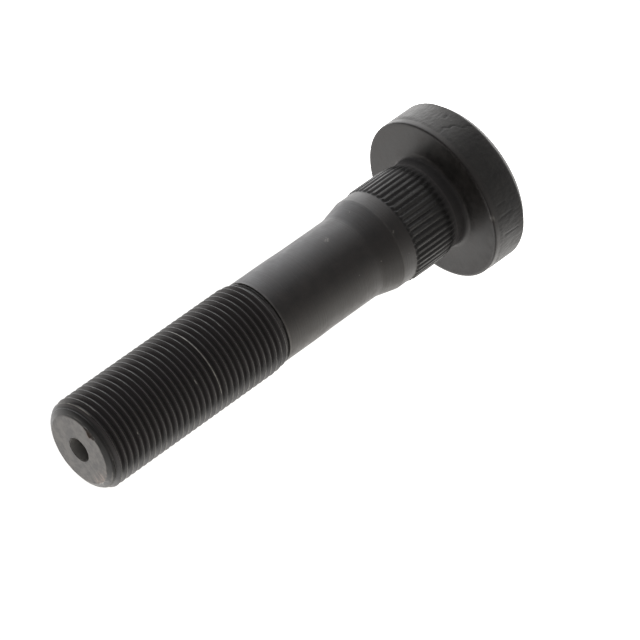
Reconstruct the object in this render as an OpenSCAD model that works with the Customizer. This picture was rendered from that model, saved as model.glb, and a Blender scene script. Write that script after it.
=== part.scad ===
// Wheel stud with a round head, a straight knurl and a fine right-hand thread.
// One forged, turned and rolled piece of steel with a black finish.
// Millimetres. The axis is Z, the head's outer face lies on Z = 0 and the thread points up.

/* [Head] */
// Diameter of the round head
head_d = 36.2; // [30:0.1:44]
// Thickness of the head, from its outer face to the bearing face
head_t = 9.8; // [6:0.1:14]
// Width of the chamfer round the outer face, equal across the face and along the rim
head_chamfer = 1.6; // [0.5:0.1:3]
// Depth to which the rim is turned next to the bearing face
head_skim = 0.15; // [0.05:0.05:0.5]
// Width of that turned band
head_skim_len = 2; // [1:0.1:4]
// Edge break between the bearing face and the rim
head_break = 0.3; // [0.1:0.05:0.8]

/* [Neck] */
// Diameter of the smooth neck between the head and the knurl
neck_d = 20.3; // [19.6:0.1:20.6]
// Length of the neck, from the bearing face to the knurl
neck_len = 4.8; // [2:0.1:8]
// Radius of the fillet where the neck meets the bearing face
neck_fillet = 1; // [0.3:0.1:1.6]

/* [Knurl] */
// Diameter over the crests of the knurl, which bites into the hub's bore
knurl_d = 21.7; // [21.4:0.05:23]
// Diameter at the roots of the knurl
knurl_root_d = 20.6; // [19.6:0.1:20.8]
// Length of the knurl with both its run-outs
knurl_len = 10.2; // [6:0.1:16]
// Number of straight teeth
knurl_teeth = 48; // [36:1:60]
// Length over which each tooth runs out at its ends
knurl_runout = 0.9; // [0.3:0.1:1.5]

/* [Collar] */
// Diameter of the plain collar that guides the stud into the bore
collar_d = 21; // [20.9:0.05:21.3]
// Length of the collar, from the knurl to the shoulder
collar_len = 3.4; // [2:0.1:8]
// Slope of the shoulder between the collar and the shank, in degrees from the axis
shoulder_angle = 13.5; // [8:0.5:30]
// Radius of the fillet where the shoulder runs into the shank
shoulder_fillet = 6; // [1:0.5:8]

/* [Shank] */
// Length of the stud from the bearing face to the tip
stud_len = 98; // [90:0.5:130]
// Diameter of the shank at its waist
waist_d = 18.55; // [17:0.05:18.7]
// Diameter of the land next to the thread, as it was before rolling
land_d = 18.8; // [18.75:0.05:19.2]
// Length of the land
land_len = 8; // [4:0.5:14]
// Length of the soft change from the waist to the land
land_blend = 6; // [2:0.5:8]

/* [Thread] */
// Diameter over the thread's crests
thread_d = 19.9; // [19.7:0.05:20]
// Pitch of the thread
thread_pitch = 1.5; // [1:0.25:2]
// Length of the thread from the tip, with its run-out
thread_len = 49; // [30:0.5:59]
// Length over which the thread runs out into the land
thread_runout = 4; // [2:0.5:6]
// Flat sides that stand for one turn of the thread
thread_sides = 24; // [16:1:32]

/* [Tip] */
// Length of the tapered start of the thread
tip_len = 2.4; // [1.5:0.1:4]
// Diameter of the flat end face
tip_face_d = 15.6; // [12:0.1:17]
// Length of the steep chamfer next to the end face
tip_chamfer = 0.65; // [0.3:0.05:1]
// Diameter of the blind hole in the end face
hole_d = 5.4; // [3:0.1:8]
// Depth of the hole at its full diameter
hole_depth = 7; // [3:0.5:14]

/* [Hidden] */
$fn = 96;
// Steps of an arc or a soft blend in the turned outline
ARC_STEPS = 8;
// Diameter of the band that is turned on the head
band_d = head_d - 2 * head_skim;
// Heights of the shoulders along the axis, from the head to the tip
total_len = head_t + stud_len;
knurl_z = head_t + neck_len;
collar_z = knurl_z + knurl_len;
shoulder_z = collar_z + collar_len;
cone_rise = (collar_d - waist_d) / 2 - shoulder_fillet * (1 - cos(shoulder_angle));
waist_z = shoulder_z + cone_rise / tan(shoulder_angle) + shoulder_fillet * sin(shoulder_angle);
thread_z = total_len - thread_len;
land_z = thread_z - land_len;
chamfer_z = total_len - tip_chamfer;
// A rolled 60 degree thread: its depth, and the shares of a pitch that its crest and flank take
thread_depth = 0.6134 * thread_pitch;
crest_share = 0.125;
flank_share = thread_depth * tan(30) / thread_pitch;
thread_root_d = thread_d - 2 * thread_depth;
// Shares of a tooth's angle that its crest and each flank take
tooth_crest_share = 0.3;
tooth_flank_share = 0.27;
// The teeth are drawn this far past the turned faces at their roots and crests, which cut them cleanly
tooth_past = 0.05;
// Angle of the drill point at the bottom of the hole, measured from the axis
drill_angle = 59;
// The flat-sided ends of the thread stay this far inside the round ends that they meet
end_inset = 0.03;
// A cut runs this far past the face that it opens
cut_past = 1;

// Points of a soft S-shaped change of radius from [z0, r0] to [z1, r1], without its first point
function soft_step(z0, r0, z1, r1) = [
    for (k = [1 : ARC_STEPS])
        let (t = k / ARC_STEPS)
        [r0 + (r1 - r0) * t * t * (3 - 2 * t), z0 + (z1 - z0) * t]
];

// Points of an arc in the outline, about the centre [r, z]
function arc(centre, radius, from, to) = [
    for (k = [0 : ARC_STEPS])
        let (a = from + (to - from) * k / ARC_STEPS)
        centre + radius * [cos(a), sin(a)]
];

// Outline of the head, the neck and the shank up to the foot of the thread
function blank_outline() = concat(
    [
        [0, 0],
        [head_d / 2 - head_chamfer, 0],
        [head_d / 2, head_chamfer],
        [head_d / 2, head_t - head_skim_len - head_skim],
        [band_d / 2, head_t - head_skim_len],
        [band_d / 2, head_t - head_break],
        [band_d / 2 - head_break, head_t]
    ],
    arc([neck_d / 2 + neck_fillet, head_t + neck_fillet], neck_fillet, 270, 180),
    [
        [neck_d / 2, knurl_z],
        [knurl_root_d / 2, knurl_z + knurl_runout],
        [knurl_root_d / 2, collar_z - knurl_runout],
        [collar_d / 2, collar_z],
        [collar_d / 2, shoulder_z]
    ],
    arc([waist_d / 2 + shoulder_fillet, waist_z], shoulder_fillet, 180 + shoulder_angle, 180),
    [[waist_d / 2, land_z - land_blend]],
    soft_step(land_z - land_blend, waist_d / 2, land_z, land_d / 2),
    [[land_d / 2, thread_z], [0, thread_z]]
);

module blank() {
    color("#2e2c2a") rotate_extrude() polygon(blank_outline());
}

// One tooth's corners, by angle and radius
function tooth_corners(k) = [
    for (c = [
        [-tooth_crest_share / 2 - tooth_flank_share, knurl_root_d / 2 - tooth_past],
        [-tooth_crest_share / 2, knurl_d / 2 + tooth_past],
        [tooth_crest_share / 2, knurl_d / 2 + tooth_past],
        [tooth_crest_share / 2 + tooth_flank_share, knurl_root_d / 2 - tooth_past]
    ])
        let (a = (k + c[0]) * 360 / knurl_teeth)
        c[1] * [cos(a), sin(a)]
];

// Straight teeth, their ends turned down to the collar on one side and to the neck on the other
module knurl() {
    color("#3a3836") intersection() {
        translate([0, 0, knurl_z]) linear_extrude(knurl_len)
            polygon([for (k = [0 : knurl_teeth - 1]) each tooth_corners(k)]);
        rotate_extrude() polygon([
            [0, knurl_z],
            [neck_d / 2 - tooth_past, knurl_z],
            [knurl_d / 2, knurl_z + knurl_runout],
            [knurl_d / 2, collar_z - knurl_runout],
            [collar_d / 2 - tooth_past, collar_z],
            [0, collar_z]
        ]);
    }
}

// The four corners of the thread's form in one pitch: share of the pitch, then radius
THREAD_FORM = [
    [0, thread_d / 2],
    [crest_share, thread_d / 2],
    [crest_share + flank_share, thread_root_d / 2],
    [1 - flank_share, thread_root_d / 2]
];
FORM = len(THREAD_FORM);

// Radius of the thread at height z: it fades into the land and is cut back towards the tip
function thread_radius(z, form_r) =
    let (
        fade = min(1, (z - thread_z) / thread_runout),
        taper = (z - (total_len - tip_len)) / (tip_len - tip_chamfer),
        limit = thread_d / 2 - max(0, taper) * thread_depth
    )
    min(land_d / 2 + (form_r - land_d / 2) * fade, limit);

// The thread as one closed skin: rows of points climb a right-hand helix between two flat rings
module thread() {
    n = thread_sides;
    first_z = thread_z + thread_pitch / 8;
    turns = floor((chamfer_z - first_z) / thread_pitch - 1.05);
    rows = FORM * turns;
    ring = rows + 1;
    foot = ring * n;
    head = foot + n;
    helix = [
        for (j = [0 : n - 1], i = [0 : rows])
            let (
                form = THREAD_FORM[i % FORM],
                z = first_z + thread_pitch * (floor(i / FORM) + form[0] + j / n),
                r = thread_radius(z, form[1])
            )
            [r * cos(360 * j / n), r * sin(360 * j / n), z]
    ];
    rings = [
        for (end = [[thread_z, land_d / 2], [chamfer_z, thread_root_d / 2]], j = [0 : n - 1])
            let (r = end[1] - end_inset)
            [r * cos(360 * j / n), r * sin(360 * j / n), end[0]]
    ];
    // Two triangles between neighbouring columns, and one pitch higher where the last meets the first
    skin = [
        for (j = [0 : n - 1])
            let (last = j == n - 1, next = last ? 0 : j + 1, lift = last ? FORM : 0)
            for (i = [0 : rows - 1 - lift])
                let (a = j * ring + i, b = next * ring + i + lift)
                each [[a, a + 1, b], [b, a + 1, b + 1]]
    ];
    ends = [
        for (j = [0 : n - 2])
            let (a = j * ring, b = a + ring)
            each [
                [foot + j, a, foot + j + 1], [foot + j + 1, a, b],
                [head + j, head + j + 1, a + rows], [head + j + 1, b + rows, a + rows]
            ]
    ];
    // The step of one pitch that the helix leaves at each end of the seam
    c = (n - 1) * ring;
    seam = concat(
        [[foot + n - 1, c, foot], [foot, c, 0]],
        [for (i = [0 : FORM - 1]) [i, c, i + 1]],
        [for (i = [rows - FORM : rows - 1]) [rows, c + i, c + i + 1]],
        [[rows, c + rows, head + n - 1], [rows, head + n - 1, head]]
    );
    caps = [[for (j = [0 : n - 1]) foot + j], [for (j = [n - 1 : -1 : 0]) head + j]];
    color("#262422") polyhedron(concat(helix, rings), concat(skin, ends, seam, caps));
}

module tip() {
    color("#6b6863") translate([0, 0, chamfer_z])
        cylinder(h = tip_chamfer, d1 = thread_root_d, d2 = tip_face_d);
}

module end_hole() {
    point_len = hole_d / 2 / tan(drill_angle);
    translate([0, 0, total_len - hole_depth]) {
        cylinder(h = hole_depth + cut_past, d = hole_d);
        translate([0, 0, -point_len]) cylinder(h = point_len, d1 = 0, d2 = hole_d);
    }
}

module wheel_stud() {
    difference() {
        union() {
            blank();
            knurl();
            thread();
            tip();
        }
        end_hole();
    }
}

wheel_stud();
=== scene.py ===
"""Looks of a long wheel stud: one forged, turned and rolled piece of steel with a black oxide finish.

The stud stands on its head on a pale light table. Everything is in the part's own frame, in metres, with +Z from
the head to the tip. The sizes in the classes below are millimetres, and the skin is scaled once, when it is made.
"""

import logging
import math
from dataclasses import dataclass, field
from enum import IntEnum

import bpy
import numpy as np
from mathutils import Matrix, Vector

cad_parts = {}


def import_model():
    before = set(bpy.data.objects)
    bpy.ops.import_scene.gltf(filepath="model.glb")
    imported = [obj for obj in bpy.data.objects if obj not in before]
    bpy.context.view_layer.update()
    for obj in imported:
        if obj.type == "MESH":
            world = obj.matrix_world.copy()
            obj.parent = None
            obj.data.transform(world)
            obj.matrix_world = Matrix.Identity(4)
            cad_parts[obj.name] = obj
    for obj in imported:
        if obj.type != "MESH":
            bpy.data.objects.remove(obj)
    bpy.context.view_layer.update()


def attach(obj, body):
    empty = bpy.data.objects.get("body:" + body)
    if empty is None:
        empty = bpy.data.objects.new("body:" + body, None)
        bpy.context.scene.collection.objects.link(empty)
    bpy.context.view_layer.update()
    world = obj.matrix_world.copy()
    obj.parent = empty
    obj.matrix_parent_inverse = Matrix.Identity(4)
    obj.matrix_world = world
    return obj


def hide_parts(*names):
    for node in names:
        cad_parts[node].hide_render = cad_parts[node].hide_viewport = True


LOG = logging.getLogger("wheel_stud")
MM = 0.001
NODE = "wheel_stud"
BODY = "root"
TURN = 2 * math.pi
# Faces that meet at more than this angle, in degrees, have a sharp edge between them
SHARP = 32
# Numbers of the inputs of a Mix node, whose names aren't unique
SHARE, FIRST_NUMBER, SECOND_NUMBER, FIRST_COLOUR, SECOND_COLOUR = 0, 2, 3, 6, 7

Values = np.ndarray | float
Socket = bpy.types.NodeSocket


class Zone(IntEnum):
    """Which finish a face of the skin wears. The number is its place among the material slots."""

    FORGED = 0
    TURNED = 1
    FACED = 2
    KNURLED = 3
    ROLLED = 4
    SAWN = 5
    DRILLED = 6
    MATT = 7


class Draw(IntEnum):
    """Seeds of the random marks and lines, so that each comes out the same on every run."""

    TEARS = 20
    UNROUND = 21
    HAMMERED = 22
    FACE_EDGE = 23
    BAND_EDGE = 24
    TEETH = 25
    DENTS = 26
    END_EDGE = 27
    CHIP = 28
    HOLE_EDGE = 29
    SPECKLE = 30


def linear(code: str) -> tuple[float, float, float, float]:
    """Turns an sRGB hex colour into the linear one that shaders use.

    Args:
        code: Six hex digits after a hash.

    Returns:
        Red, green, blue and a full alpha.
    """
    parts = [int(code[i : i + 2], 16) / 255 for i in (1, 3, 5)]
    r, g, b = (p / 12.92 if p <= 0.04045 else ((p + 0.055) / 1.055) ** 2.4 for p in parts)
    return r, g, b, 1.0


def add_node(
    tree: bpy.types.NodeTree, kind: str, inputs: dict | tuple = (), **settings: object
) -> bpy.types.Node:
    """Adds a node to a tree, with its settings and links.

    Args:
        tree: The tree that gets the node.
        kind: Blender's name of the node's class, which ShaderNode stands before.
        inputs: Values, or outputs that feed the inputs, in the inputs' order or by their name or number.
        settings: The node's own properties.

    Returns:
        The new node.
    """
    node = tree.nodes.new("ShaderNode" + kind)
    for name, value in settings.items():
        setattr(node, name, value)
    for key, value in inputs.items() if isinstance(inputs, dict) else enumerate(inputs):
        if isinstance(value, Socket):
            tree.links.new(value, node.inputs[key])
        else:
            node.inputs[key].default_value = value
    return node


def empty_tree(owner: bpy.types.Material | bpy.types.World) -> bpy.types.NodeTree:
    """Clears the node tree of a material or world, and returns it."""
    owner.use_nodes = True
    owner.node_tree.nodes.clear()
    return owner.node_tree


def soft(t: Values) -> Values:
    """Eases a share from 0 to 1 with a level start and end."""
    t = np.clip(t, 0, 1)
    return t * t * (3 - 2 * t)


def bell(away: Values, reach: float) -> Values:
    """Falls softly from 1 to about 0.4 at one reach away, and to nothing at two."""
    return np.exp(-((away / reach) ** 2))


def round_axis(angle: Values, centre: float) -> Values:
    """The way from one angle to another, in radians from minus half a turn to half a turn."""
    return (angle - centre + math.pi) % TURN - math.pi


def wander(angle: np.ndarray, seed: Draw, waves: int, strength: float) -> np.ndarray:
    """A closed, smooth, random line round the axis.

    Args:
        angle: Angles round the axis, in radians.
        seed: Chooses the line.
        waves: How many waves go round at most.
        strength: About how far the line strays.

    Returns:
        The line's value at each angle.
    """
    rng = np.random.default_rng(int(seed))
    total = np.zeros_like(angle)
    for k in range(1, waves + 1):
        total += rng.normal() * np.cos(k * angle + rng.uniform(0, TURN))
    return strength * total / math.sqrt(waves)


@dataclass
class Skin:
    """One closed skin, gathered ring by ring from the head to the tip.

    Each point's value says what has become of the film there: 1 is rubbed to bright steel, 0 is untouched, and -1 is
    covered by what settles in hollows. The same values also carry painted light and shade: painted shade in the
    rim's cracks and on one side of the bearing face, painted light on the thread's flanks and at the knurl's foot,
    painted light and shade on the two sides of the centre hole, and painted highlights on turned edges and on some
    crests.
    """

    points: list[np.ndarray] = field(default_factory=list)
    wear_and_painted_light: list[np.ndarray] = field(default_factory=list)
    faces: list[tuple[int, ...]] = field(default_factory=list)
    zones: list[int] = field(default_factory=list)
    count: int = 0

    def add(self, angle: np.ndarray, radius: Values, height: Values, wear_and_painted_light: Values = 0.0) -> np.ndarray:
        """Adds points by their place round the axis.

        Args:
            angle: Angles in radians.
            radius: Distances from the axis in millimetres.
            height: Heights above the head's outer face in millimetres.
            wear_and_painted_light: Wear of the film at each point, from -1 to 1, which also carries painted light
                and shade.

        Returns:
            The numbers of the new points.
        """
        angle = np.asarray(angle, float)
        rows = [radius * np.cos(angle), radius * np.sin(angle), height + 0 * angle]
        self.points.append(np.stack(rows, 1))
        self.wear_and_painted_light.append(wear_and_painted_light + 0 * angle)
        first, self.count = self.count, self.count + len(angle)
        return np.arange(first, self.count)

    def ring(self, columns: int, radius: Values, height: Values, wear_and_painted_light: Values = 0.0) -> np.ndarray:
        """Adds a ring of evenly spaced points, and returns their numbers."""
        return self.add(np.arange(columns) * TURN / columns, radius, height, wear_and_painted_light)

    def lace(
        self, low: np.ndarray, low_key: np.ndarray, high: np.ndarray, high_key: np.ndarray, zone: Zone
    ) -> None:
        """Fills the strip between two lines of points, each with its keys rising along it.

        Args:
            low: Point numbers of the lower or right-hand line.
            low_key: Their places along the strip.
            high: Point numbers of the other line, on the left seen along the strip.
            high_key: Their places along the strip.
            zone: The finish of the new faces.
        """
        i = j = 0
        same = 1e-6
        before = len(self.faces)
        while i < len(low) - 1 or j < len(high) - 1:
            next_low = low_key[i + 1] if i < len(low) - 1 else math.inf
            next_high = high_key[j + 1] if j < len(high) - 1 else math.inf
            if abs(next_low - next_high) < same:
                self.faces.append((low[i], low[i + 1], high[j + 1], high[j]))
                i, j = i + 1, j + 1
            elif next_low < next_high:
                self.faces.append((low[i], low[i + 1], high[j]))
                i += 1
            else:
                self.faces.append((low[i], high[j + 1], high[j]))
                j += 1
        self.zones += [int(zone)] * (len(self.faces) - before)

    def wall(self, lower: np.ndarray, upper: np.ndarray, zone: Zone) -> np.ndarray:
        """Joins two rings, which may have different counts.

        Args:
            lower: Point numbers of the ring nearer the start of the skin.
            upper: Point numbers of the next ring.
            zone: The finish of the wall.

        Returns:
            The upper ring.
        """
        keys = [np.arange(len(r) + 1) / len(r) for r in (lower, upper)]
        closed = [np.append(r, r[0]) for r in (lower, upper)]
        self.lace(closed[0], keys[0], closed[1], keys[1], zone)
        return upper

    def cap(self, ring: np.ndarray, height: float, zone: Zone, top: bool) -> None:
        """Closes a ring with a fan to a point on the axis.

        Args:
            ring: Point numbers of the ring.
            height: Height of the point on the axis in millimetres.
            zone: The finish of the fan.
            top: Whether the fan faces up.
        """
        centre = int(self.add(np.zeros(1), 0.0, height)[0])
        pairs = zip(ring, np.roll(ring, -1), strict=True)
        self.faces += [(a, b, centre) if top else (b, a, centre) for a, b in pairs]
        self.zones += [int(zone)] * len(ring)

    def piece(self, name: str, materials: list[bpy.types.Material]) -> bpy.types.Object:
        """Makes the skin into an object in metres.

        Args:
            name: The name of the object and its mesh.
            materials: The finishes in the order of Zone.

        Returns:
            The object, linked to the scene.
        """
        mesh = bpy.data.meshes.new(name)
        places = np.concatenate(self.points) * MM
        mesh.from_pydata(places.tolist(), [], [tuple(int(v) for v in f) for f in self.faces])
        mesh.update()
        for material in materials:
            mesh.materials.append(material)
        mesh.polygons.foreach_set("material_index", self.zones)
        mesh.polygons.foreach_set("use_smooth", [True] * len(self.faces))
        mesh.set_sharp_from_angle(angle=math.radians(SHARP))
        # The attribute holds the film's marks together with painted light and shade
        rubbed = mesh.attributes.new("wear_and_painted_light", "FLOAT", "POINT")
        rubbed.data.foreach_set("value", np.concatenate(self.wear_and_painted_light).astype(np.float32))
        piece = bpy.data.objects.new(name, mesh)
        bpy.context.scene.collection.objects.link(piece)
        return piece


@dataclass(frozen=True)
class Groove:
    """A score, crack or pit that runs up the rim through a few places, given as (degrees, height)."""

    path: tuple[tuple[float, float], ...]
    width: float
    depth: float
    waver: float = 0.0


@dataclass
class Head:
    """The round head: forged outer face and rim, a band turned on the rim, and the flat bearing face."""

    diameter: float = 36.2
    thickness: float = 9.8
    chamfer: float = 1.6
    skim: float = 0.04
    skim_width: float = 2.0
    edge_break: float = 0.4
    columns: int = 480
    # How far the die leaves the rim unround and hammered, and how far its edges stray
    unround: float = 0.02
    hammered: float = 0.006
    face_stray: float = 0.03
    band_stray: float = 0.05
    # Short tears in the rim: their number, the lowest and the span above it, then ranges of reach, width and depth
    tears: int = 230
    tear_heights: tuple[float, float] = (1.0, 5.6)
    tear_ranges: tuple[tuple[float, float], ...] = ((0.4, 1.5), (0.1, 0.2), (0.01, 0.04))
    # How dark the painted shade in a tear gets for each millimetre of its depth
    crack_shade_per_mm: float = 14.0
    # Longer scores, one winding crack and one pit, as they lie in the photograph
    scores: tuple[Groove, ...] = (
        Groove(((-28.5, 5.9), (-28.4, 7.6)), 0.2, 0.08),
        Groove(((-37.0, 4.5), (-37.5, 7.4)), 0.22, 0.1),
        Groove(((-52.6, 3.5), (-52.2, 7.0)), 0.22, 0.1),
        Groove(((25.2, 2.1), (27.1, 3.3), (33.6, 5.2), (35.7, 7.7)), 0.21, 0.13, 0.9),
        Groove(((42.4, 3.5), (42.0, 4.0)), 0.38, 0.13),
    )
    # A nick in the edge of the bearing face: degrees, half its width in degrees, and depth
    nick: tuple[float, float, float] = (325.2, 1.9, 0.14)
    # Painted shade on the bearing face, darker towards one side: mean, swing and degrees
    one_side_shade: tuple[float, float, float] = (0.35, 0.75, 80.0)

    def relief(self, angle: np.ndarray, height: float) -> tuple[np.ndarray, np.ndarray]:
        """How far the forged rim stands in or out at one height, and how much painted shade darkens its cracks
        there.

        Args:
            angle: Angles of the ring's points in radians.
            height: Height of the ring in millimetres.

        Returns:
            Offsets of the radius in millimetres, mostly below 0, and painted shade from 0 down to -1 in the cracks.
        """
        rng = np.random.default_rng(int(Draw.TEARS))
        radius = self.diameter / 2
        fade = soft((self.thickness - self.skim_width - height + 0.1) / 0.4)
        total = wander(angle, Draw.UNROUND, 9, self.unround)
        total += wander(angle + 0.02 * height, Draw.HAMMERED, 60, self.hammered)
        # Tears and scores are darkened in colour: painted shade for the shade inside them
        crack_shade = np.zeros_like(angle)
        lowest, span = self.tear_heights
        for _ in range(self.tears):
            at, middle = rng.uniform(0, TURN), lowest + span * rng.beta(1.3, 1.8)
            reach, width, depth = (rng.uniform(*limits) for limits in self.tear_ranges)
            across = round_axis(angle, at) * radius - 0.1 * rng.normal() * (height - middle)
            mark = max(0.0, 1 - ((height - middle) / reach) ** 2) * bell(across, width)
            total -= depth * mark
            crack_shade -= self.crack_shade_per_mm * depth * mark
        for score in self.scores:
            turns, heights = zip(*score.path, strict=True)
            if heights[0] - 0.3 < height < heights[-1] + 0.3:
                at = np.interp(height, heights, turns) + score.waver * math.sin(3.1 * height)
                mark = bell(round_axis(angle, math.radians(at)) * radius, score.width)
                total -= score.depth * mark
                crack_shade -= mark
        return total * fade, np.clip(crack_shade, -1, 0) * fade

    def build(self, skin: Skin) -> np.ndarray:
        """Forges the head from the middle of its outer face to the turned band, and turns the rest.

        Args:
            skin: The skin that gets the head.

        Returns:
            The last ring, on the bearing face.
        """
        n, radius = self.columns, self.diameter / 2
        angle = np.arange(n) * TURN / n
        ring = skin.ring(24, radius / 3, 0.0)
        skin.cap(ring, 0.0, Zone.FORGED, top=False)
        ragged = wander(angle, Draw.FACE_EDGE, 24, self.face_stray)
        stray = wander(angle, Draw.BAND_EDGE, 9, self.band_stray)
        edge, start = radius - self.chamfer, self.thickness - self.skim_width - 0.2
        rows = [(edge - 0.5 + ragged, 0.0, 0.0), (edge - 0.12 + ragged, 0.0, 0.0)]
        rows += [(edge - 0.02 + ragged, 0.05, 0.0), (edge + 0.08 + ragged, 0.16, 0.0)]
        rows += [(edge + up, up + ragged, 0.0) for up in (0.5 * self.chamfer, 0.9 * self.chamfer)]
        offset = self.relief(angle, self.chamfer + 0.1)[0]
        rows.append((radius - 0.05 + offset, self.chamfer - 0.02 + ragged, 0.0))
        for z in np.linspace(self.chamfer + 0.15, start, 22):
            offset, crack_shade = self.relief(angle, z)
            rows.append((radius + offset, z, crack_shade))
        for share in (0.2, 0.4, 0.6, 0.8, 1.0):
            r = radius - self.skim * soft(share) + offset * (1 - share)
            rows.append((r, start + 0.8 * share + stray, crack_shade * (1 - share)))
        for r, z, wear_and_painted_light in rows:
            ring = skin.wall(ring, skin.ring(n, r, z, wear_and_painted_light), Zone.FORGED)
        return self.turn(skin, ring)

    def turn(self, skin: Skin, ring: np.ndarray) -> np.ndarray:
        """Turns the band with its edge and nick, and faces the bearing face.

        Args:
            skin: The skin that gets the band and the face.
            ring: The ring at the lower edge of the band.

        Returns:
            The last ring, on the bearing face.
        """
        n, band = self.columns, self.diameter / 2 - self.skim
        angle = np.arange(n) * TURN / n
        ring = skin.wall(ring, skin.ring(n, band, self.thickness - self.skim_width + 1.2), Zone.TURNED)
        dip = bell(np.degrees(angle) - self.nick[0], self.nick[1])
        for turn in np.linspace(0, math.pi / 2, 4):
            c, s = math.cos(turn), math.sin(turn)
            r = band - self.edge_break * (1 - c) - self.nick[2] * dip * s
            z = self.thickness - self.edge_break * (1 - s) - self.nick[2] * dip * c
            ring = skin.wall(ring, skin.ring(n, r, z, 0.5 * dip), Zone.TURNED)
        mean, swing, turned = self.one_side_shade
        # Painted shade on one side of the bearing face, strongest at its outer edge and gone near the neck
        side_shade = -np.clip(mean + swing * np.cos(angle + math.radians(turned)), 0, 1)
        for r, share in ((band - self.edge_break - 0.35, 1.0), (15.0, 0.7), (12.4, 0.0)):
            ring = skin.wall(ring, skin.ring(n, r, self.thickness, side_shade * share), Zone.FACED)
        return ring


@dataclass
class Neck:
    """The smooth neck behind the knurl, with its fillet to the bearing face."""

    diameter: float = 20.3
    fillet: float = 1.0
    foot: float = 9.8
    rows: tuple[float, ...] = (1.4, 1.9, 2.7)
    columns: int = 384
    fillet_rows: int = 8
    # The faced finish reaches this share of the fillet's turn, and above it the neck is matt
    faced_share: float = 0.7

    def build(self, skin: Skin, below: np.ndarray) -> np.ndarray:
        """Makes the fillet and the neck.

        Args:
            skin: The skin that gets the neck.
            below: The ring on the bearing face.

        Returns:
            The ring at the foot of the knurl.
        """
        ring, r = below, self.diameter / 2
        for step in np.linspace(0, 1, self.fillet_rows):
            turn = step * math.pi / 2
            out = self.fillet * (1 - math.sin(turn))
            up = self.fillet * (1 - math.cos(turn))
            zone = Zone.FACED if step < self.faced_share else Zone.MATT
            ring = skin.wall(ring, skin.ring(self.columns, r + out, self.foot + up), zone)
        for up in self.rows:
            ring = skin.wall(ring, skin.ring(self.columns, r, self.foot + up), Zone.MATT)
        return ring


@dataclass
class Knurl:
    """Straight teeth pressed into the shank, their grooves ending in the collar in round noses."""

    diameter: float = 21.65
    root: float = 20.85
    neck: float = 20.3
    collar: float = 21.0
    foot: float = 14.6
    length: float = 10.2
    teeth: int = 48
    first: float = 2.85
    # The teeth come out of the neck this far up from the foot, and climb over this length
    start: float = -1.75
    climb: float = 3.0
    # How much single teeth differ in where they start, where their grooves end, and in height
    spreads: tuple[float, float, float] = (0.2, 0.13, 0.02)
    # A dent: degrees, height up from the foot, and depth
    dent: tuple[float, float, float] = (25.3, 3.95, 0.2)
    # Share of the grooves' floor that has settled dust
    dust: float = 0.3
    # One tooth from its crest to the next, as (share of the pitch, share of the height)
    form: tuple[tuple[float, float], ...] = (
        (0.0, 1.0), (0.16, 0.95), (0.29, 0.6), (0.41, 0.12), (0.5, 0.0), (0.59, 0.12), (0.71, 0.6), (0.84, 0.95),
    )

    def build(self, skin: Skin, below: np.ndarray) -> np.ndarray:
        """Makes the toothed band.

        Args:
            skin: The skin that gets the knurl.
            below: The last ring of the neck.

        Returns:
            The ring at the end of the knurl, on the collar.
        """
        rng = np.random.default_rng(int(Draw.TEETH))
        n, per = self.teeth, len(self.form)
        share = np.array([f[0] for f in self.form])
        lift = np.tile([f[1] for f in self.form], n)
        tooth = np.repeat(np.arange(n), per)
        angle = math.radians(self.first) + (tooth + np.tile(share, n)) * TURN / n
        late, early, tall = (rng.normal(0, spread, n)[tooth] for spread in self.spreads)
        swell = np.clip(rng.normal(-0.05, 0.05, n), 0, 0.08)[tooth]
        crest, floor, collar = self.diameter / 2, self.root / 2, self.collar / 2
        dent_at, dent_up, dent_depth = self.dent
        # The rows of points lie closest where the teeth start, at the dent and where they end
        start, end = np.linspace(-1.8, 1.2, 13), np.linspace(8.9, self.length, 8)
        rows = []
        for up in (*start, 1.9, 2.6, 3.3, 3.8, 4.1, 4.4, 5.4, 6.9, 8.2, *end):
            past = up - self.start
            rise = soft((past - late) / self.climb) * (0.62 + 0.38 * soft((up + 1.5) / 6.5))
            drop = soft((self.length - up) / 0.55)
            closing = 1 - soft((self.length + 0.02 - early * (lift < 0.5) - up) / 0.75)
            ground = floor + (collar - floor) * closing + (self.neck - self.root) / 2 * (1 - soft(past / 3.2))
            peak = collar + (crest + tall - collar) * drop
            r = ground + np.maximum(peak - ground, 0) * lift * rise + swell * lift * bell(up + 0.4, 0.4)
            r -= dent_depth * bell(np.degrees(angle) - dent_at, 2.2) * bell(up - dent_up, 0.35)
            # Towards the neck the colour is lifted to the second tone: painted light over the shade where the teeth
            # start
            wear_and_light = rise * (lift * drop - self.dust * (1 - lift) * (1 - closing)) - (1 - soft(past / 2.8))
            rows.append(skin.add(angle, r, self.foot + up, wear_and_light))
        # The neck's points are evenly spaced and the teeth's aren't, so these two are laced by their angles
        even = np.arange(len(below) + 1) * TURN / len(below) + angle[0]
        turned = np.roll(below, -int(round(angle[0] / TURN * len(below))))
        closed = np.append(angle, angle[0] + TURN)
        skin.lace(np.append(turned, turned[0]), even, np.append(rows[0], rows[0][0]), closed, Zone.MATT)
        for lower, upper in zip(rows[:-1], rows[1:], strict=True):
            skin.wall(lower, upper, Zone.KNURLED)
        return rows[-1]


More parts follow.
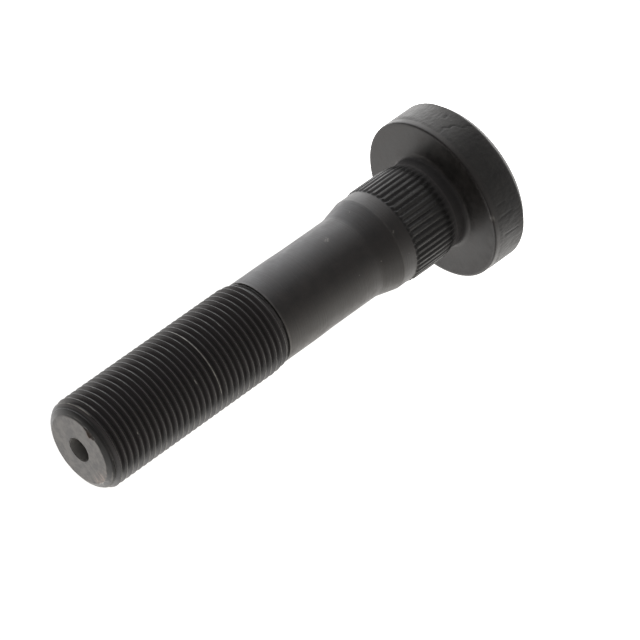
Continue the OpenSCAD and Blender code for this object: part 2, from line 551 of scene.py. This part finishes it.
@dataclass
class Shank:
    """The collar, the shoulder, the waisted shank and the land beside the thread."""

    collar: float = 21.0
    collar_foot: float = 24.8
    shoulder: float = 28.2
    slope: float = 13.5
    fillet: float = 6.0
    waist: float = 18.55
    land: float = 18.8
    land_foot: float = 50.8
    blend: float = 6.0
    land_rows: tuple[float, ...] = (52.8, 54.8, 56.8, 58.9, 59.22)
    columns: int = 128
    # Painted highlights on the edge of the collar and on the land's last edge, which starts here
    edge_highlight: float = 0.08
    last_edge_highlight: float = 0.2
    last_edge: float = 59.0

    def outline(self) -> list[tuple[float, float]]:
        """The turned outline.

        Returns:
            Points as (radius, height), from the collar to the foot of the thread.
        """
        tilt = math.radians(self.slope)
        rise = (self.collar - self.waist) / 2 - self.fillet * (1 - math.cos(tilt))
        foot = self.shoulder + rise / math.tan(tilt) + self.fillet * math.sin(tilt)
        line = [(self.collar / 2, self.shoulder - down) for down in (2.9, 1.6, 0.35, 0.06)]
        line += [(self.collar / 2 - up * math.tan(tilt), self.shoulder + up) for up in (0.06, 0.3)]
        for share in (0.25, 0.5, 0.75):
            line.append((self.collar / 2 - rise * share, self.shoulder + rise * share / math.tan(tilt)))
        for share in np.linspace(1, 0, 7):
            turn = tilt * share
            line.append((self.waist / 2 + self.fillet * (1 - math.cos(turn)), foot - self.fillet * math.sin(turn)))
        for z in np.linspace(foot + 1, self.land_foot, 11):
            widening = soft((z - self.land_foot + self.blend) / self.blend)
            line.append((self.waist / 2 + (self.land - self.waist) / 2 * widening, z))
        line += [(self.land / 2, z) for z in self.land_rows]
        return line

    def highlight_at(self, height: float) -> float:
        """How bright the painted highlight is at one height."""
        if height > self.last_edge:
            return self.last_edge_highlight
        return self.edge_highlight if abs(height - self.shoulder) < 0.1 else 0.0

    def build(self, skin: Skin, below: np.ndarray) -> np.ndarray:
        """Turns the shank.

        Args:
            skin: The skin that gets the shank.
            below: The last ring of the knurl.

        Returns:
            The last ring of the land.
        """
        angle = math.radians(Knurl.first)
        turned = np.arange(len(below)) * TURN / len(below) + angle
        first = skin.wall(below, skin.add(turned, self.collar / 2, self.collar_foot + 0.12), Zone.TURNED)
        rings = [skin.ring(self.columns, r, z, self.highlight_at(z)) for r, z in self.outline()]
        skin.wall(first, np.roll(rings[0], -int(round(angle / TURN * self.columns))), Zone.TURNED)
        for lower, upper in zip(rings[:-1], rings[1:], strict=True):
            skin.wall(lower, upper, Zone.TURNED)
        return rings[-1]


@dataclass
class Thread:
    """A rolled right-hand thread. Its rows of points climb with the helix, so crests and roots stay crisp."""

    diameter: float = 19.9
    pitch: float = 1.5
    land: float = 18.8
    foot: float = 59.4
    runout: float = 3.4
    entry: float = 0.3
    top: float = 107.62
    columns: int = 120
    first: float = 59.3
    depth: float = 0.92
    shallow: float = 0.3
    # The tapered end as (height, radius)
    cone: tuple[tuple[float, float], ...] = ((105.8, 9.95), (107.15, 8.95), (107.8, 7.8))
    # One pitch from crest to crest, as (share of the pitch, share of the depth)
    form: tuple[tuple[float, float], ...] = (
        (0.0, 0.06), (0.022, 0.015), (0.0625, 0.0), (0.103, 0.015), (0.125, 0.06), (0.16, 0.14), (0.31, 0.52),
        (0.45, 0.9), (0.5, 0.975), (0.5625, 1.0), (0.625, 0.975), (0.675, 0.9), (0.815, 0.52), (0.965, 0.14),
    )
    # Dents in the crests: how many, ranges of their angle, height, depth and size, and two that the photograph shows
    dent_count: int = 60
    dent_ranges: tuple[tuple[float, float], ...] = ((0, TURN), (62, 105), (0.03, 0.12), (0.25, 0.7))
    placed_dents: tuple[tuple[float, ...], ...] = (
        (math.radians(-23.5), 99.9, 0.16, 0.4), (math.radians(30), 104.4, 0.14, 0.6),
    )
    # Crests rubbed bright: height at 0 degrees, how bright, and from how many degrees to how many
    gleams: tuple[tuple[float, ...], ...] = ((78.6, 0.85, -52, 67), (105.89, 0.4, 15, 100), (104.39, 0.15, 15, 100))
    # Painted light lifts the flanks most on the side that faces these degrees, and round the second ones the flanks
    # are lifted less and the crests get a painted highlight
    painted_front: float = -50.0
    painted_contrast: float = -66.0
    # The end is scuffed: degrees, reach in degrees, and the height where that starts
    scuff: tuple[float, float, float] = (272, 16, 106.6)

    def radius(self, angle: float, height: np.ndarray, share: np.ndarray, nicks: np.ndarray) -> np.ndarray:
        """Radius of the thread on one column.

        Args:
            angle: The column's angle in radians.
            height: Heights of its points in millimetres.
            share: How deep in the groove each point lies, 0 at the crest and 1 at the root.
            nicks: Rows of (angle, height, depth, size) of the dents in the crests.

        Returns:
            The radii in millimetres.
        """
        heights, radii = zip(*self.cone, strict=True)
        limit = np.interp(height, heights, radii)
        ahead = np.clip((height - heights[0]) / (heights[-1] - heights[0]), 0, 1)
        root = np.minimum(self.diameter / 2 - self.depth, limit - self.shallow * (1 - ahead))
        rise = np.clip((height - self.foot) / self.runout, 0, 1) ** 0.8
        sink = np.clip((height - self.foot) / 0.1, 0, 1)
        share = np.maximum(share, 1 - np.clip((height - self.foot) / self.entry - 1, 0, 1))
        crest = self.land / 2 + (self.diameter - self.land) / 2 * rise
        r = crest - (crest - self.land / 2 + (self.land / 2 - root) * sink) * share
        return np.minimum(r - self.dents(angle, height, nicks) * (1 - share), limit)

    def dents(self, angle: float, height: np.ndarray, nicks: np.ndarray) -> np.ndarray:
        """Depths of the dents on one column, in millimetres.

        Args:
            angle: The column's angle in radians.
            height: Heights of its points in millimetres.
            nicks: Rows of (angle, height, depth, size) of the dents.

        Returns:
            The depth at each point.
        """
        total = np.zeros_like(height)
        for at, z, depth, size in nicks:
            away = round_axis(angle, at) * self.diameter / 2
            if abs(away) < 3 * size:
                total += depth * bell(away, size) * bell(height - z, 0.3)
        return total

    def film_wear_and_light(self, angle: float, height: np.ndarray, share: np.ndarray, nicks: np.ndarray) -> np.ndarray:
        """The film's marks on one column, with painted light on the flanks and painted highlights on the crests.

        Args:
            angle: The column's angle in radians.
            height: Heights of its points in millimetres.
            share: How deep in the groove each point lies, 0 at the crest and 1 at the root.
            nicks: Rows of (angle, height, depth, size) of the dents in the crests.

        Returns:
            A value from -1, lifted by painted light, to 1, bright, for each point.
        """
        side = round_axis(angle, 0.0)
        degrees = math.degrees(side)
        begun = soft((height - self.foot) / 2)
        crest = np.clip(1 - 5 * share, 0, 1) * soft((height - self.foot - 2) / 2)
        marks = 5 * self.dents(angle, height, nicks)
        for level, strength, start, end in self.gleams:
            window = soft((degrees - start) / 15) * soft((end - degrees) / 15)
            marks += strength * window * bell(height - level - self.pitch * side / TURN, 0.4)
        # Round these degrees the flanks keep more painted shade and the crests get a painted highlight
        painted_contrast = bell(degrees - self.painted_contrast, 20.0)
        # Behind, only the flanks are lifted by painted light, most in their middle, so the roots keep a painted
        # shade
        flank = np.clip(4 * share * (1 - share), 0, 1) * begun * (1 - 0.9 * painted_contrast)
        behind = crest * (0.13 + 0.12 * painted_contrast + marks) - 0.85 * flank
        # On the side that faces the first of those degrees, broad bands of painted light lift all but the rubbed
        # crests, and least of it lies in the roots, which stay darker as painted shade
        band = (0.3 + 0.28 * np.clip(1.15 - 1.3 * share, 0, 1) * begun) * (1 - 0.85 * painted_contrast)
        before = crest * (1.3 * marks + 0.38 * painted_contrast) - band * (1 - np.minimum(1, 3 * crest * marks))
        painted_front = soft((math.cos(angle - math.radians(self.painted_front)) - 0.1) / 0.5)
        return behind * (1 - painted_front) + before * painted_front

    def build(self, skin: Skin, below: np.ndarray) -> np.ndarray:
        """Rolls the thread.

        Args:
            skin: The skin that gets the thread.
            below: The last ring of the land.

        Returns:
            The ring at the foot of the end chamfer.
        """
        rng = np.random.default_rng(int(Draw.DENTS))
        n, per = self.columns, len(self.form)
        phase = np.array([f[0] for f in self.form])
        share = np.array([f[1] for f in self.form])
        count = np.arange(-per, (math.ceil((self.top - self.foot) / self.pitch) + 1) * per)
        nicks = np.stack([rng.uniform(*limits, self.dent_count) for limits in self.dent_ranges], 1)
        nicks = np.vstack([nicks, self.placed_dents])
        scuff_at, scuff_reach, scuff_start = self.scuff
        columns = []
        for j in range(n):
            angle = TURN * j / n
            z = self.first + self.pitch * (np.floor(count / per) + phase[count % per] + j / n)
            keep = (z > self.foot + 0.05) & (z < self.top - 0.04)
            z, rows, deep = z[keep], count[keep].astype(float), share[count % per][keep]
            z = np.concatenate([[self.foot], z, [self.top]])
            rows = np.concatenate([[-per * j / n - 0.5], rows, [rows[-1] + 0.5]])
            deep = np.concatenate([[0.5], deep, [1.0]])
            wear_and_light = self.film_wear_and_light(angle, z, deep, nicks)
            # The foot of each column carries the land's last edge and its painted highlight
            wear_and_light[0] = Shank.last_edge_highlight
            scuff = bell(math.degrees(angle) - scuff_at, scuff_reach) * rng.uniform(-0.6, 0.5, len(z))
            wear_and_light = np.where(z > scuff_start, np.maximum(wear_and_light, scuff), wear_and_light)
            columns.append((skin.add(np.full(len(z), angle), self.radius(angle, z, deep, nicks), z, wear_and_light), rows))
        skin.wall(below, np.array([c[0][0] for c in columns]), Zone.TURNED)
        for j in range(n):
            points, rows = columns[j]
            beside, other = columns[(j + 1) % n]
            shift = per if j == n - 1 else 0
            skin.lace(points[::-1], -rows[::-1], beside[::-1], -(other - shift)[::-1], Zone.ROLLED)
        return np.array([c[0][-1] for c in columns])


@dataclass
class Tip:
    """The chamfer, the sawn end face and the blind centre hole."""

    face: float = 15.6
    total: float = 107.8
    hole: float = 5.4
    hole_depth: float = 7.0
    drill_angle: float = 59.0
    columns: int = 192
    hole_columns: int = 64
    # The face lies this far below the highest point of its edge, which strays in and out
    dish: float = 0.02
    stray: float = 0.05
    # A chip in the edge: degrees, half its width in degrees, and how deep it cuts down
    chip: tuple[float, float, float] = (10, 10, 0.6)
    # Bright speckles on a stretch of the edge: degrees and half its width
    speckled: tuple[float, float] = (275, 18)

    def build(self, skin: Skin, below: np.ndarray) -> None:
        """Makes the end of the stud down to the drill point, which closes the skin.

        Args:
            skin: The skin that gets the tip.
            below: The ring at the foot of the chamfer.
        """
        n = self.columns
        angle = np.arange(n) * TURN / n
        edge = self.face / 2 + wander(angle, Draw.END_EDGE, 30, self.stray)
        near = bell(np.degrees(angle) - self.chip[0], self.chip[1])
        chip = near * np.clip(1.05 + wander(angle, Draw.CHIP, 60, 0.35), 0, 1.4)
        rng = np.random.default_rng(int(Draw.SPECKLE))
        low, high = self.total - 0.05 - self.chip[2] * chip, self.total - 0.03 * chip
        row = skin.ring(n, edge + 0.05 - 0.25 * chip, low, self.speckle(angle, rng))
        ring = skin.wall(below, row, Zone.ROLLED)
        for inward in (0.05, 0.3, 0.55):
            spots = self.speckle(angle, rng) - near * (0.9 - inward)
            ring = skin.wall(ring, skin.ring(n, edge - inward - chip, high, spots), Zone.SAWN)
            high = self.total - self.dish
        for r in (5.4, 3.6):
            ring = skin.wall(ring, skin.ring(n, r, high), Zone.SAWN)
        self.drill(skin, ring)

    def drill(self, skin: Skin, ring: np.ndarray) -> None:
        """Drills the centre hole, whose wall gets painted light on one side and painted shade on the other.

        Args:
            skin: The skin that gets the hole.
            ring: The innermost ring of the end face.
        """
        n, hole = self.hole_columns, self.hole / 2
        angle = np.arange(n) * TURN / n
        rim = hole + 0.06 + wander(angle, Draw.HOLE_EDGE, 9, 0.02)
        for r, down in ((rim, 0.01), (hole, 0.1)):
            ring = skin.wall(ring, skin.ring(n, r, self.total - down), Zone.SAWN)
        for down in np.linspace(0.5, self.hole_depth, 9):
            # Painted light and shade: the wall is lighter on one side and darker on the other
            row = skin.ring(n, hole, self.total - down, 0.25 + 0.6 * np.sin(angle))
            ring = skin.wall(ring, row, Zone.DRILLED)
        depth = hole / math.tan(math.radians(self.drill_angle))
        row = skin.ring(n // 2, hole / 2, self.total - self.hole_depth - depth / 2)
        ring = skin.wall(ring, row, Zone.DRILLED)
        skin.cap(ring, self.total - self.hole_depth - depth, Zone.DRILLED, top=True)

    def speckle(self, angle: np.ndarray, rng: np.random.Generator) -> np.ndarray:
        """How bright the end's edge is rubbed at each angle, in speckles over a short stretch."""
        stretch = bell(np.degrees(angle) - self.speckled[0], self.speckled[1])
        return stretch * rng.uniform(0, 1, len(angle)) ** 1.5


@dataclass(frozen=True)
class OxidedSteel:
    """Steel under a black oxide film, which the eye sees as satin and nearly black, brighter where light grazes it.

    No metal shows through the film, so the metallic share is low. Where it is rubbed off, the steel's own grey comes
    out, and in hollows a second tone of dust and stains tints it. The bright grey also gives painted highlights, and
    the second tone also gives painted shade and painted light, where the skin's values ask for them.
    """

    name: str
    # The film, its thinner patches, bare steel, which also gives painted highlights, and the tone of dust and stains
    # in hollows, which also gives painted light and shade
    film: str = "#0e0d0d"
    rubbed: str = "#141312"
    bright: str = "#8d8a84"
    settled_and_painted_light: str = "#302d2d"
    metallic: float = 0.1
    gloss: float = 0.164
    roughness: float = 0.4
    uneven: float = 0.06
    # Marks of the tool or die: waves per millimetre along x, y and z, and their depth in millimetres
    grain: tuple[float, float, float] = (0.12, 0.12, 3.4)
    relief: float = 0.016
    # Patches of the film: how many per millimetre, and how sharply they part
    mottle: float = 0.5
    contrast: float = 1.0
    # Shares of bare steel at rubbed spots and painted highlights alike, and in stray specks
    wear_and_painted_light: float = 0.0
    specks: float = 0.0
    # Gritty scuffs as (place, radius) in millimetres
    scuffs: tuple[tuple[tuple[float, float, float], float], ...] = ()

    def material(self) -> bpy.types.Material:
        """Makes the Blender material of this finish.

        Returns:
            The new material.
        """
        material = bpy.data.materials.new(self.name)
        tree = empty_tree(material)
        here = add_node(tree, "TexCoord").outputs["Object"]
        place = add_node(tree, "VectorMath", {0: here, "Scale": 1 / MM}, operation="SCALE").outputs[0]
        cloud = {"Vector": place, "Scale": self.mottle, "Detail": 5.0, "Roughness": 0.6}
        patches = add_node(tree, "TexNoise", cloud).outputs[0]
        half = 0.5 / self.contrast
        parted = add_node(tree, "MapRange", (patches, 0.5 - half, 0.5 + half)).outputs[0]
        ends = {SHARE: parted, FIRST_COLOUR: linear(self.film), SECOND_COLOUR: linear(self.rubbed)}
        film = add_node(tree, "Mix", ends, data_type="RGBA").outputs[2]
        stretched = add_node(tree, "VectorMath", (place, self.grain), operation="MULTIPLY").outputs[0]
        marks = add_node(tree, "TexNoise", {"Vector": stretched, "Scale": 1.0, "Detail": 3.0}).outputs[0]
        bump = {"Height": marks, "Distance": self.relief * MM, "Strength": 1.0}
        low, high = self.roughness - self.uneven, self.roughness + self.uneven
        look = {
            "Base Color": self.wear_and_light(tree, place, film),
            "Metallic": self.metallic,
            "Roughness": add_node(tree, "MapRange", (patches, 0.3, 0.7, low, high)).outputs[0],
            "Specular IOR Level": self.gloss,
            "Normal": add_node(tree, "Bump", bump).outputs[0],
        }
        shader = add_node(tree, "BsdfPrincipled", look)
        add_node(tree, "OutputMaterial", {"Surface": shader.outputs[0]})
        return material

    def wear_and_light(self, tree: bpy.types.NodeTree, place: Socket, tone: Socket) -> Socket:
        """Tints the hollows, paints the light and shade that the skin's values carry, and lays the steel bare in
        broken patches, specks and scuffs.

        Args:
            tree: The material's nodes.
            place: Place on the stud in millimetres.
            tone: The film's colour.

        Returns:
            The colour with its marks and painted light.
        """
        wear_and_light_value = add_node(tree, "Attribute", attribute_name="wear_and_painted_light").outputs["Fac"]
        # Below 0 the colour goes towards the second tone: dust and stains in some places, painted light and shade in
        # others
        layers = [(add_node(tree, "MapRange", (wear_and_light_value, 0.0, -1.0)).outputs[0], self.settled_and_painted_light)]
        if self.wear_and_painted_light:
            noise = add_node(tree, "TexNoise", {"Vector": place, "Scale": 0.6, "Detail": 3.0}).outputs[0]
            broken = add_node(tree, "MapRange", (noise, 0.35, 0.75, 0.25, 1.0)).outputs[0]
            share = add_node(tree, "Math", (wear_and_light_value, broken), operation="MULTIPLY").outputs[0]
            share = add_node(tree, "Math", (share, self.wear_and_painted_light), operation="MULTIPLY").outputs[0]
            layers.append((share, self.bright))
        if self.specks:
            # A fifth of the cells, which are about 2 mm wide, hold a speck
            cells = add_node(tree, "TexVoronoi", {"Vector": place, "Scale": 0.45}).outputs
            spot = add_node(tree, "MapRange", (cells["Distance"], 0.03, 0.07, self.specks, 0.0)).outputs[0]
            lot = add_node(tree, "SeparateColor", (cells["Color"],)).outputs[0]
            few = add_node(tree, "Math", (lot, 0.8), operation="GREATER_THAN").outputs[0]
            layers.append((add_node(tree, "Math", (spot, few), operation="MULTIPLY").outputs[0], self.bright))
        for middle, reach in self.scuffs:
            away = add_node(tree, "VectorMath", (place, middle), operation="DISTANCE").outputs["Value"]
            inside = add_node(tree, "MapRange", (away, 0.2 * reach, reach, 1.0, 0.0)).outputs[0]
            noise = add_node(tree, "TexNoise", {"Vector": place, "Scale": 2.2, "Detail": 2.0}).outputs[0]
            grit = add_node(tree, "MapRange", (noise, 0.48, 0.68, 0.02, 0.4)).outputs[0]
            layers.append((add_node(tree, "Math", (inside, grit), operation="MULTIPLY").outputs[0], self.bright))
        for share, colour in layers:
            ends = {SHARE: share, FIRST_COLOUR: tone, SECOND_COLOUR: linear(colour)}
            tone = add_node(tree, "Mix", ends, data_type="RGBA").outputs[2]
        return tone


@dataclass(frozen=True)
class GlowingAcrylic:
    """White acrylic lit from below, which the eye sees as an even white without shadows.

    It glows more strongly at both sides of the stud than before and behind it, and once more round the head's foot.
    Lengths are millimetres.
    """

    name: str = "white_acrylic_light_table"
    cool: str = "#f9fafd"
    warm: str = "#fdf9f2"
    tint_reach: float = 100.0
    # The glow round the stud, as (degrees, strength), and its scale
    glow: tuple[tuple[float, float], ...] = (
        (-180, 1.13), (-150, 1.7), (-110, 3.0), (-75, 4.2), (-45, 2.2), (-20, 1.14),
        (0, 1.12), (20, 1.2), (48, 3.8), (85, 6.6), (125, 3.7), (155, 1.6), (180, 1.13),
    )
    peak: float = 7.0
    # Round the head's foot, changing towards the back
    foot: float = 2.6
    foot_behind: float = 1.7
    foot_fade: tuple[float, float] = (23.0, 19.0)
    foot_change: tuple[float, float] = (12.0, 20.0)
    way_behind: tuple[float, float, float] = (-0.6, 0.8, 0.0)
    # A patch close behind the head
    behind: float = 2.5
    behind_change: tuple[float, float] = (10.0, 22.0)
    close: tuple[float, float] = (50.0, 25.0)
    # Stronger on one side of the head than on the other
    near_side: float = 0.8
    far_side: float = 1.22
    side_reach: float = 18.0
    # The table is never less than white
    least: float = 1.1

    def material(self) -> bpy.types.Material:
        """Makes the Blender material of the table.

        Returns:
            The new material.
        """
        material = bpy.data.materials.new(self.name)
        tree = empty_tree(material)
        here = add_node(tree, "TexCoord").outputs["Object"]
        place = add_node(tree, "VectorMath", {0: here, "Scale": 1 / MM}, operation="SCALE").outputs[0]
        x, y = add_node(tree, "SeparateXYZ", (place,)).outputs[:2]
        reach = add_node(tree, "VectorMath", (place,), operation="LENGTH").outputs["Value"]
        behind = add_node(tree, "VectorMath", (place, self.way_behind), operation="DOT_PRODUCT").outputs["Value"]
        near = add_node(tree, "MapRange", (reach, *self.foot_fade)).outputs[0]
        foot = add_node(tree, "MapRange", (behind, *self.foot_change, self.foot, self.foot_behind)).outputs[0]
        glow = {SHARE: near, FIRST_NUMBER: self.round_stud(tree, x, y), SECOND_NUMBER: foot}
        strength = add_node(tree, "Mix", glow).outputs[0]
        close = add_node(tree, "MapRange", (reach, *self.close)).outputs[0]
        left = add_node(tree, "MapRange", (behind, *self.behind_change)).outputs[0]
        patch = add_node(tree, "Math", (close, left), operation="MULTIPLY").outputs[0]
        glow = {SHARE: patch, FIRST_NUMBER: strength, SECOND_NUMBER: self.behind}
        strength = add_node(tree, "Mix", glow).outputs[0]
        sides = (y, -self.side_reach, self.side_reach, self.near_side, self.far_side)
        sides = add_node(tree, "MapRange", sides).outputs[0]
        uneven = add_node(tree, "Mix", {SHARE: close, FIRST_NUMBER: 1.0, SECOND_NUMBER: sides}).outputs[0]
        strength = add_node(tree, "Math", (strength, uneven), operation="MULTIPLY").outputs[0]
        strength = add_node(tree, "Math", (strength, self.least), operation="MAXIMUM").outputs[0]
        side = add_node(tree, "MapRange", (y, -self.tint_reach, self.tint_reach)).outputs[0]
        ends = {SHARE: side, FIRST_COLOUR: linear(self.warm), SECOND_COLOUR: linear(self.cool)}
        tint = add_node(tree, "Mix", ends, data_type="RGBA").outputs[2]
        shader = add_node(tree, "Emission", {"Color": tint, "Strength": strength})
        add_node(tree, "OutputMaterial", {"Surface": shader.outputs[0]})
        return material

    def round_stud(self, tree: bpy.types.NodeTree, x: Socket, y: Socket) -> Socket:
        """The glow by the way out from the axis.

        Args:
            tree: The material's nodes.
            x: Place along x.
            y: Place along y.

        Returns:
            The strength.
        """
        turn = add_node(tree, "Math", (y, x), operation="ARCTAN2").outputs[0]
        share = add_node(tree, "MapRange", (turn, -math.pi, math.pi)).outputs[0]
        ramp = add_node(tree, "ValToRGB", (share,))
        ramp.color_ramp.interpolation = "EASE"
        stops = ramp.color_ramp.elements
        stops[0].position, stops[1].position = 0.0, 1.0
        while len(stops) < len(self.glow):
            stops.new(0.5)
        for stop, (degrees, strength) in zip(stops, self.glow, strict=True):
            stop.position = degrees / 360 + 0.5
            stop.color = (strength / self.peak,) * 3 + (1.0,)
        return add_node(tree, "Math", (ramp.outputs[0], self.peak), operation="MULTIPLY").outputs[0]


@dataclass
class Studio:
    """The light table, the soft light round it and the camera at the photograph's viewing angle, in metres."""

    table_reach: float = 6.0
    # The table lies a hair below the head's face, so that the two don't share a plane
    gap: float = 0.00002
    # The sky fades from the horizon to the zenith between two heights
    sky_tint: str = "#fffdfb"
    horizon: float = 1.25
    zenith: float = 0.4
    sky_fade: tuple[float, float] = (0.1, 0.7)
    # A large soft box behind the stud and a smaller one at its side: strength, way, and cosines of their spread
    back_light: float = 3.0
    back_way: tuple[float, float, float] = (-0.873, 0.0, 0.488)
    back_spread: tuple[float, float] = (0.45, 0.95)
    side_light: float = 1.35
    side_way: tuple[float, float, float] = (-0.42, -0.54, 0.73)
    side_spread: tuple[float, float] = (0.6, 0.97)
    lens: float = 283.58
    sensor: float = 36.0
    clip: tuple[float, float] = (0.05, 50.0)
    eye: tuple[float, float, float] = (0.88103, 0.0, 0.54017)
    right: tuple[float, float, float] = (0.40188452, -0.57759832, -0.71054135)
    up: tuple[float, float, float] = (0.27732115, 0.81629451, -0.5067112)

    def build(self) -> None:
        """Makes the table, the surroundings and the camera."""
        self.build_table()
        self.build_sky()
        self.build_camera()
        bpy.context.scene.view_settings.view_transform = "Standard"

    def build_table(self) -> None:
        """Lays the light table under the stud."""
        mesh = bpy.data.meshes.new("light_table")
        a, z = self.table_reach, -self.gap
        mesh.from_pydata([(-a, -a, z), (a, -a, z), (a, a, z), (-a, a, z)], [], [(0, 1, 2, 3)])
        mesh.materials.append(GlowingAcrylic().material())
        table = bpy.data.objects.new("light_table", mesh)
        bpy.context.scene.collection.objects.link(table)

    def build_sky(self) -> None:
        """Surrounds the stud with soft white light, brighter where the two soft boxes stand."""
        world = bpy.data.worlds.new("soft_light")
        bpy.context.scene.world = world
        tree = empty_tree(world)
        way = add_node(tree, "TexCoord").outputs["Generated"]
        height = add_node(tree, "SeparateXYZ", (way,)).outputs[2]
        ranges = [(height, *self.sky_fade, self.horizon, self.zenith)]
        boxes = ((self.back_way, self.back_spread, 1.0), (self.side_way, self.side_spread, self.side_light))
        for toward, spread, strength in boxes:
            middle = Vector(toward).normalized()
            near = add_node(tree, "VectorMath", (way, middle), operation="DOT_PRODUCT").outputs["Value"]
            ranges.append((near, *spread, 0.0, strength))
        sky, back, side = (
            add_node(tree, "MapRange", inputs, interpolation_type="SMOOTHSTEP").outputs[0] for inputs in ranges
        )
        lit = add_node(tree, "Mix", {SHARE: back, FIRST_NUMBER: sky, SECOND_NUMBER: self.back_light}).outputs[0]
        lit = add_node(tree, "Math", (lit, side), operation="ADD").outputs[0]
        shader = add_node(tree, "Background", {"Color": linear(self.sky_tint), "Strength": lit})
        add_node(tree, "OutputWorld", {"Surface": shader.outputs[0]})

    def build_camera(self) -> None:
        """Places the camera as the photograph's was, turned so that the stud lies across the picture."""
        data = bpy.data.cameras.new("camera")
        data.lens, data.sensor_width = self.lens, self.sensor
        data.clip_start, data.clip_end = self.clip
        right, up = Vector(self.right), Vector(self.up)
        turned = Matrix((right, up, right.cross(up))).transposed().to_4x4()
        camera = bpy.data.objects.new("camera", data)
        camera.matrix_world = Matrix.Translation(self.eye) @ turned
        bpy.context.scene.collection.objects.link(camera)
        bpy.context.scene.camera = camera


def finishes() -> list[bpy.types.Material]:
    """Makes the finishes of the stud.

    Returns:
        One material for each member of Zone, in its order.
    """
    steels = [
        # Drop forged: a matt, pitted skin with scale about a millimetre wide, and painted shade darkening its cracks
        OxidedSteel(
            "forged_steel_black_oxide", settled_and_painted_light="#050505", roughness=0.46, grain=(1.2, 1.2, 0.8), relief=0.11,
            mottle=0.45, contrast=4.0, specks=0.05,
        ),
        # Turned: satin with fine rings. A tool leaves them about 0.1 mm apart, and they are drawn at 0.3 mm to show
        OxidedSteel(
            "turned_steel_black_oxide", rubbed="#171413", contrast=2.0, relief=0.03, wear_and_painted_light=0.4, specks=0.16,
            scuffs=(((7.29, 5.74, 39.49), 0.9), ((10.47, -0.77, 27.68), 0.4)),
        ),
        # Faced: a greyer satin in soft patches of about 2 mm, with brownish painted shade on one side
        OxidedSteel(
            "faced_steel_black_oxide", film="#191817", rubbed="#252322", settled_and_painted_light="#0a0705", gloss=0.122,
            roughness=0.44, grain=(0.5, 0.5, 0.5), relief=0.03, mottle=0.4, contrast=5.0,
        ),
        # Knurled: dark, pressed smooth along the teeth, with a grey painted light at their foot
        OxidedSteel(
            "knurled_steel_black_oxide", film="#0c0c0c", rubbed="#121111", settled_and_painted_light="#282727", gloss=0.128,
            wear_and_painted_light=0.03, grain=(1.0, 1.0, 0.2),
        ),
        # Rolled: the smoothest and glossiest, with crests rubbed bright and flanks lifted by painted light
        OxidedSteel(
            "rolled_steel_black_oxide", film="#151515", rubbed="#1c1b1a", settled_and_painted_light="#2e2b2b", gloss=0.15,
            wear_and_painted_light=1.0, roughness=0.36, grain=(0.6, 0.6, 3.0),
        ),
        # Sawn: a thin grey film in cloudy patches that lets the steel through, with brown stains at the chip
        OxidedSteel(
            "sawn_steel_black_oxide", film="#272625", rubbed="#43413f", settled_and_painted_light="#2a1d16", bright="#a08c80",
            metallic=0.5, gloss=0.142, wear_and_painted_light=0.6, roughness=0.46, grain=(1.6, 0.5, 0.5), relief=0.02,
            mottle=0.6, contrast=5.0,
        ),
        # Drilled: rough and light grey where the drill rubbed, with painted light on one side of the wall and
        # painted shade on the other, and rings drawn 0.4 mm apart
        OxidedSteel(
            "drilled_steel_black_oxide", film="#5a5958", rubbed="#6e6c6a", settled_and_painted_light="#171615", metallic=0.2,
            gloss=0.15, wear_and_painted_light=0.7, roughness=0.55, grain=(0.2, 0.2, 2.5), relief=0.012,
        ),
        # Matt: the crevice of the neck, with a lighter film that hardly shines
        OxidedSteel("matt_steel_black_oxide", film="#201f1f", rubbed="#242323", gloss=0.1, roughness=0.5),
    ]
    return [steel.material() for steel in steels]


def build_stud() -> bpy.types.Object:
    """Builds the whole stud as one closed skin.

    Returns:
        The finished piece, not yet riding on its body.
    """
    skin = Skin()
    ring = Head().build(skin)
    ring = Neck().build(skin, ring)
    ring = Knurl().build(skin, ring)
    ring = Shank().build(skin, ring)
    ring = Thread().build(skin, ring)
    Tip().build(skin, ring)
    return skin.piece("stud", finishes())


def main() -> None:
    logging.basicConfig(level=logging.INFO, format="%(message)s")
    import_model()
    stud = build_stud()
    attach(stud, BODY)
    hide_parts(NODE)
    faces = stud.data.polygons
    LOG.info("stud: %d faces, %d triangles", len(faces), sum(len(face.vertices) - 2 for face in faces))
    Studio().build()
    LOG.info("light table, soft light and camera")


if __name__ == "__main__":
    main()
